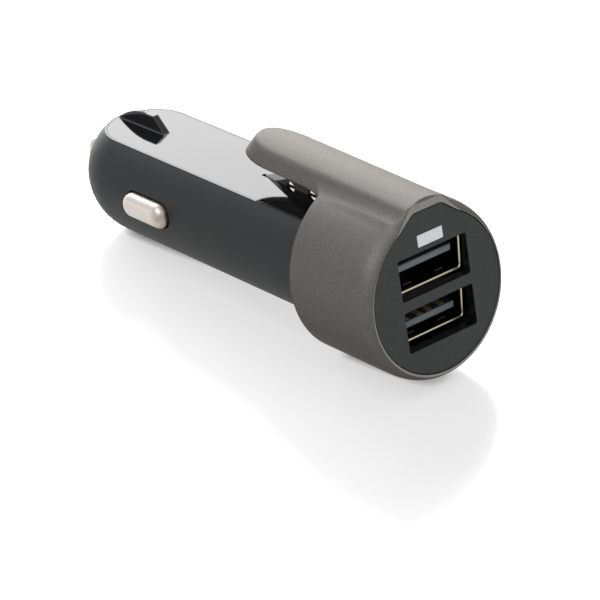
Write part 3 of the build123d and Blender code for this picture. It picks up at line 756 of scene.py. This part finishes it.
class PLUG_OT_ports(bpy.types.Operator):
    """Shells, tongues and contact strips of both ports"""

    bl_idname = "plug.ports"
    bl_label = "USB ports"

    def execute(self, context):
        finish = context.scene.plug_finish
        plate = lipped_plate("Port plate", finish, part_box("usb_shell_upper")[0].y)
        front = grained("Tongue grey", finish.tongue_grey, finish, roughness=0.5, depth=0.006 * MM)
        shaded_sides = grained("Tongue painted shade", finish.panel_grey, finish, roughness=0.5, depth=0.006 * MM)
        gold = plain("Contact gold", finish.contact_gold, Metallic=0.5, Roughness=0.3)
        # A tongue is pale on its front end, and behind it has the panel's grey as painted shade for the
        # shade inside the port
        for port in ("upper", "lower"):
            welded_piece(f"usb_shell_{port}", [plate], finish.shell_angle)
            tongue = welded_piece(f"usb_tongue_{port}", [front, shaded_sides], finish.smooth_angle)
            for face in tongue.data.polygons:
                face.material_index = int(face.normal.y > -FACING)
            paint_node(f"usb_contacts_{port}", gold)
        return {"FINISHED"}


class PLUG_OT_lamp(bpy.types.Operator):
    """Indicator lamp and its legs"""

    bl_idname = "plug.lamp"
    bl_label = "Indicator lamp"

    def execute(self, context):
        finish = context.scene.plug_finish
        lens = plain(
            "Lamp lens", finish.lamp_white, Roughness=0.35,
            Emission_Color=rgba(finish.lamp_white), Emission_Strength=finish.lamp_glow,
            Subsurface_Weight=0.3, Subsurface_Radius=(finish.lamp_depth,) * 3,
        )
        legs = brushed("Tinned legs", finish.ground_steel, roughness=0.25, depth=0.001 * MM)
        paint_node("led_lamp", lens)
        paint_node("led_leads", legs)
        return {"FINISHED"}


class PLUG_OT_socket_contacts(bpy.types.Operator):
    """Nickel contacts for the socket, at the nose and on both sides"""

    bl_idname = "plug.socket_contacts"
    bl_label = "Socket contacts"

    def execute(self, context):
        finish = context.scene.plug_finish
        nickel = plain("Bright nickel", finish.nickel, Metallic=1.0, Roughness=0.2)
        tinted = tinted_plate("Tinted nickel", finish)
        welded_piece("tip_contact", [nickel], finish.smooth_angle)
        for side in ("left", "right"):
            welded_piece(f"ground_contact_{side}", [tinted], finish.smooth_angle)
        return {"FINISHED"}


class PLUG_OT_tip_spring(bpy.types.Operator):
    """Spring behind the tip contact, shown with a mesh of its own"""

    bl_idname = "plug.tip_spring"
    bl_label = "Tip spring"

    def execute(self, context):
        finish = context.scene.plug_finish
        steel = brushed("Spring steel", finish.ground_steel, roughness=0.3, depth=0.001 * MM)
        spring = welded_piece("tip_spring", [steel], finish.spring_angle)
        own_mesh(spring)
        return {"FINISHED"}


class PLUG_OT_electronics(bpy.types.Operator):
    """Circuit board with what stands on it, and the plate behind the tip's spring"""

    bl_idname = "plug.electronics"
    bl_label = "Electronics"

    def execute(self, context):
        finish = context.scene.plug_finish
        board = grained("Board green", finish.board_green, finish, roughness=0.35, depth=0.004 * MM)
        package = grained("Package black", finish.package_black, finish, roughness=0.6, depth=0.006 * MM)
        ferrite = grained("Ferrite", finish.ferrite_grey, finish, roughness=0.5, depth=0.01 * MM)
        copper = brushed("Enamelled copper", finish.winding_copper, roughness=0.25, depth=0.01 * MM)
        can = brushed("Capacitor can", finish.can_grey, roughness=0.3, depth=0.001 * MM)
        brass = brushed("Terminal brass", finish.terminal_brass, roughness=0.28, depth=0.001 * MM)
        finishes = {
            "main_board": board,
            "converter_chip": package,
            "catch_diode": package,
            "inductor_core": ferrite,
            "inductor_winding": copper,
            "input_capacitor": can,
            "output_capacitor": can,
            "tip_terminal": brass,
        }
        for node, material in finishes.items():
            paint_node(node, material)
        return {"FINISHED"}


def floor_frame(stage):
    """Turn and a point of the floor that the collar and the nose lie on."""
    touch = Vector((0, -stage.collar_touch * stage.collar_radius, -stage.collar_radius))
    nose = Vector((0, stage.nose_start, stage.nose_offset))
    reach = nose - touch
    slope = atan2(reach.z, reach.y) - asin(stage.nose_round / hypot(reach.y, reach.z))
    return Matrix.Rotation(slope, 3, "X"), touch


def seen_mask(wiring):
    """One for what the camera, mirrors and glass show, nought for light that falls on things."""
    rays = wiring.add("ShaderNodeLightPath")
    shown = wiring.maths("MAXIMUM", rays.outputs["Is Camera Ray"], rays.outputs["Is Glossy Ray"])
    return wiring.maths("MAXIMUM", shown, rays.outputs["Is Transmission Ray"])


def floor_material(stage):
    """Glossy white, with a white of its own that is seen but doesn't light the plug."""
    material, wiring, finish = new_material("Floor", (stage.floor_white,) * 3, Roughness=0.16)
    out = finish.outputs["BSDF"].links[0].to_node
    glow = wiring.add("ShaderNodeEmission")
    shade = wiring.add(
        "ShaderNodeAmbientOcclusion",
        Distance=stage.shade_reach, Color=rgba((stage.floor_glow,) * 3),
    )
    wiring.join(shade.outputs["Color"], glow.inputs["Color"])
    wiring.join(seen_mask(wiring), glow.inputs["Strength"])
    both = wiring.add("ShaderNodeAddShader")
    wiring.join(finish.outputs["BSDF"], both.inputs[0])
    wiring.join(glow.outputs["Emission"], both.inputs[1])
    wiring.join(both.outputs["Shader"], out.inputs["Surface"])
    return material


def make_floor(stage):
    """Floor that the plug lies on."""
    turn, point = floor_frame(stage)
    form = bmesh.new()
    bmesh.ops.create_grid(form, x_segments=1, y_segments=1, size=FLOOR_REACH)
    bmesh.ops.transform(form, matrix=Matrix.Translation(point) @ turn.to_4x4(), verts=form.verts)
    mesh = bpy.data.meshes.new("floor")
    form.to_mesh(mesh)
    form.free()
    mesh.materials.append(floor_material(stage))
    floor = bpy.data.objects.new("floor", mesh)
    bpy.context.scene.collection.objects.link(floor)


def make_camera(stage):
    """Camera that sees the plug's origin at its place in the picture."""
    yaw, rise, roll = stage.yaw, stage.rise, stage.roll
    back = Vector((sin(yaw) * cos(rise), -cos(yaw) * cos(rise), sin(rise)))
    level = Vector((cos(yaw), sin(yaw), 0.0))
    upright = back.cross(level)
    right = cos(roll) * level + sin(roll) * upright
    up = -sin(roll) * level + cos(roll) * upright
    focal = stage.pixels_per_mm * stage.distance / MM
    across, down = ((place - PICTURE_SIDE / 2) / focal for place in stage.origin_place)
    data = bpy.data.cameras.new("camera")
    data.sensor_width = SENSOR_WIDTH
    data.lens = focal / PICTURE_SIDE * SENSOR_WIDTH
    data.clip_start = 0.01
    camera = bpy.data.objects.new("camera", data)
    place = stage.distance * (back - across * right + down * up)
    turn = Matrix((right, up, back)).transposed().to_4x4()
    camera.matrix_world = Matrix.Translation(place) @ turn
    bpy.context.scene.collection.objects.link(camera)
    bpy.context.scene.camera = camera


def softbox(name, bearing, rise, distance, side, brightness):
    """Square lamp of a given brightness, at a bearing from +Y and a height angle from mid-barrel."""
    data = bpy.data.lights.new(name, "AREA")
    data.size = side
    data.energy = brightness * pi * side**2
    lamp = bpy.data.objects.new(name, data)
    target = Vector((0, 0.5 * CAD_BOX[1][1], 0))
    towards = Vector((sin(bearing) * cos(rise), cos(bearing) * cos(rise), sin(rise)))
    lamp.location = target + distance * towards
    lamp.rotation_euler = (-towards).to_track_quat("-Z", "Y").to_euler()
    lamp.visible_camera = False
    bpy.context.scene.collection.objects.link(lamp)


def make_room(stage):
    """Even room light; the camera and mirrors see it white."""
    world = bpy.data.worlds.new("room")
    world.use_nodes = True
    bpy.context.scene.world = world
    wiring = Wiring(world.node_tree)
    out = wiring.add("ShaderNodeOutputWorld")
    light = wiring.add("ShaderNodeBackground", Color=(1, 1, 1, 1), Strength=stage.room_light)
    white = wiring.add("ShaderNodeBackground", Color=(1, 1, 1, 1), Strength=1.0)
    mix = wiring.add("ShaderNodeMixShader")
    wiring.join(seen_mask(wiring), mix.inputs["Fac"])
    wiring.join(light.outputs["Background"], mix.inputs[1])
    wiring.join(white.outputs["Background"], mix.inputs[2])
    wiring.join(mix.outputs["Shader"], out.inputs["Surface"])


class PLUG_OT_stage(bpy.types.Operator):
    """Floor, camera, room light and softboxes"""

    bl_idname = "plug.stage"
    bl_label = "Stage"

    def execute(self, context):
        stage = context.scene.plug_stage
        make_floor(stage)
        make_camera(stage)
        make_room(stage)
        softbox(
            "back softbox", stage.back_bearing, stage.back_rise,
            stage.back_distance, stage.back_side, stage.back_light,
        )
        softbox(
            "top softbox", stage.top_bearing, stage.top_rise,
            stage.top_distance, stage.top_side, stage.top_light,
        )
        context.scene.view_settings.view_transform = "Standard"
        return {"FINISHED"}


PIECE_OPERATORS = (
    PLUG_OT_barrel,
    PLUG_OT_cover,
    PLUG_OT_collar,
    PLUG_OT_panel,
    PLUG_OT_blade,
    PLUG_OT_ports,
    PLUG_OT_lamp,
    PLUG_OT_socket_contacts,
    PLUG_OT_tip_spring,
    PLUG_OT_electronics,
    PLUG_OT_stage,
)


class PLUG_PT_panel(bpy.types.Panel):
    """Lists the plug's pieces and stage"""

    bl_idname = "PLUG_PT_panel"
    bl_label = "Charger Plug"
    bl_space_type = "VIEW_3D"
    bl_region_type = "UI"
    bl_category = "Charger Plug"

    def draw(self, context):
        for operator in PIECE_OPERATORS:
            self.layout.operator(operator.bl_idname)


CLASSES = (PlugFinish, PlugStage, *PIECE_OPERATORS, PLUG_PT_panel)


def register():
    for kind in CLASSES:
        bpy.utils.register_class(kind)
    bpy.types.Scene.plug_finish = bpy.props.PointerProperty(type=PlugFinish)
    bpy.types.Scene.plug_stage = bpy.props.PointerProperty(type=PlugStage)


def unregister():
    del bpy.types.Scene.plug_stage
    del bpy.types.Scene.plug_finish
    for kind in reversed(CLASSES):
        bpy.utils.unregister_class(kind)


def main():
    register()
    for operator in PIECE_OPERATORS:
        group, name = operator.bl_idname.split(".")
        getattr(getattr(bpy.ops, group), name)()


if __name__ == "__main__":
    main()
